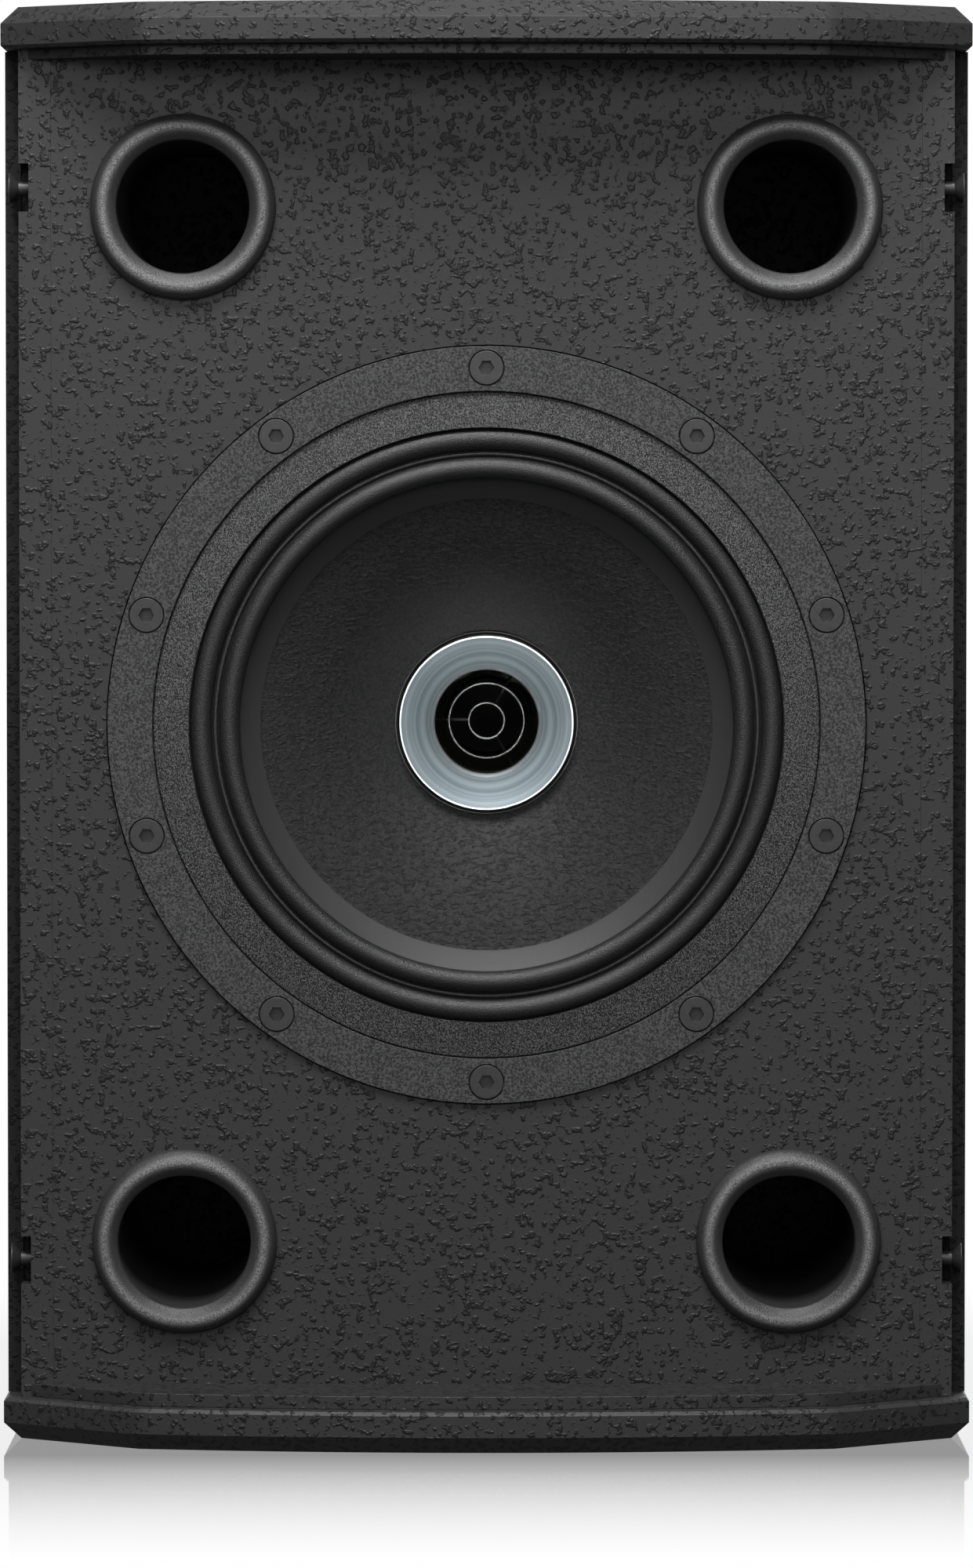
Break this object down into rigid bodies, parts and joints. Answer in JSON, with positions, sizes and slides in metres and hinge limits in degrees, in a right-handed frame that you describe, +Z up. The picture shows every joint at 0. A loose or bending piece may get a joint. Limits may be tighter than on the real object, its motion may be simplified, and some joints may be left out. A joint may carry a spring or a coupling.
{
  "type": "pa speaker cabinet",
  "caption": "Compact two-way coaxial PA loudspeaker cabinet with bowed end caps, four flared ports and a recessed rear input dish, shown without its grille.",
  "frame": {"origin": "centre of the footprint at the underside of the bottom cap", "axes": "+X to the right seen from the front, +Y from the front to the rear, +Z up"},
  "size_m": [0.275, 0.25, 0.407],
  "materials": {
    "textured_paint": "hammered semi-matte paint on birch plywood",
    "bare_plywood": "raw sawn plywood and softwood",
    "moulded_port": "fine spark-eroded moulding texture",
    "ring_powder_coat": "fine powder coat",
    "black_screw_steel": "black oxide",
    "gasket_leathercloth": "fine leathery grain",
    "doped_cloth": "doped woven cloth",
    "coated_paper": "coated pressed paper pulp",
    "turned_waveguide": "satin turned",
    "black_phase_plastic": "matte",
    "cast_alloy": "die cast",
    "plated_steel": "zinc plated",
    "ferrite": "sintered, matte",
    "neodymium": "nickel plated",
    "copper_winding": "enamelled wire",
    "polyimide": "film tube",
    "titanium_foil": "satin",
    "circuit_board": "solder mask",
    "film_capacitor": "glossy sleeve",
    "cement_resistor": "cement",
    "connector_nylon": "glass filled nylon",
    "dish_powder_coat": "fine powder coat",
    "felt": "needled felt",
    "insert_brass": "machined",
    "wire_jacket": "pvc jacket"
  },
  "bodies": {
    "cabinet": {"back_plate": "plated_steel", "baffle": "textured_paint", "board_screws": "plated_steel", "board_standoffs": "insert_brass", "bottom_cap": "textured_paint", "connector_screws": "plated_steel", "corner_battens": "bare_plywood", "crossover_board": "circuit_board", "crossover_capacitors": "film_capacitor", "crossover_inductors": "copper_winding", "crossover_resistors": "cement_resistor", "driver_chassis": "cast_alloy", "driver_clamp_ring": "ring_powder_coat", "driver_screws": "black_screw_steel", "driver_tee_nuts": "plated_steel", "driver_terminals": "connector_nylon", "ferrite_magnet": "ferrite", "front_plate": "plated_steel", "gasket_ring": "gasket_leathercloth", "grille_inserts": "insert_brass", "grille_screws": "black_screw_steel", "hf_gap_plate": "plated_steel", "hf_magnet": "neodymium", "hf_phase_plug": "black_phase_plastic", "hf_rear_cover": "cast_alloy", "hf_suspension": "polyimide", "hf_yoke": "plated_steel", "input_dish": "dish_powder_coat", "input_dish_screws": "black_screw_steel", "internal_brace": "bare_plywood", "internal_wires": "wire_jacket", "left_input_connector": "connector_nylon", "left_side_panel": "textured_paint", "lower_grille_rail": "textured_paint", "lower_left_port": "moulded_port", "lower_right_port": "moulded_port", "phase_rings": "black_phase_plastic", "pole_socket": "dish_powder_coat", "pole_socket_screws": "black_screw_steel", "rear_bracket_inserts": "plated_steel", "rear_panel": "textured_paint", "right_input_connector": "connector_nylon", "right_side_panel": "textured_paint", "side_damping_pads": "felt", "side_rigging_inserts": "plated_steel", "spider": "doped_cloth", "surround": "doped_cloth", "top_blanking_screws": "black_screw_steel", "top_cap": "textured_paint", "top_damping_pad": "felt", "top_rigging_inserts": "plated_steel", "upper_grille_rail": "textured_paint", "upper_left_port": "moulded_port", "upper_right_port": "moulded_port", "waveguide": "turned_waveguide"},
    "cone_assembly": {"cone": "coated_paper", "voice_coil_former": "polyimide", "voice_coil_winding": "copper_winding"},
    "hf_diaphragm_assembly": {"hf_diaphragm": "titanium_foil", "hf_voice_coil": "copper_winding"}
  },
  "joints": [
    {"name": "cone_travel", "type": "slide", "parent": "cabinet", "child": "cone_assembly", "axis": [0, 1, 0], "range_m": [-0.004, 0.004], "stiffness_N_per_m": 3500, "deforming": ["surround", "spider"]},
    {"name": "hf_diaphragm_travel", "type": "slide", "parent": "cabinet", "child": "hf_diaphragm_assembly", "axis": [0, 1, 0], "range_m": [-0.0003, 0.0003], "stiffness_N_per_m": 3000, "deforming": ["hf_suspension"]}
  ]
}
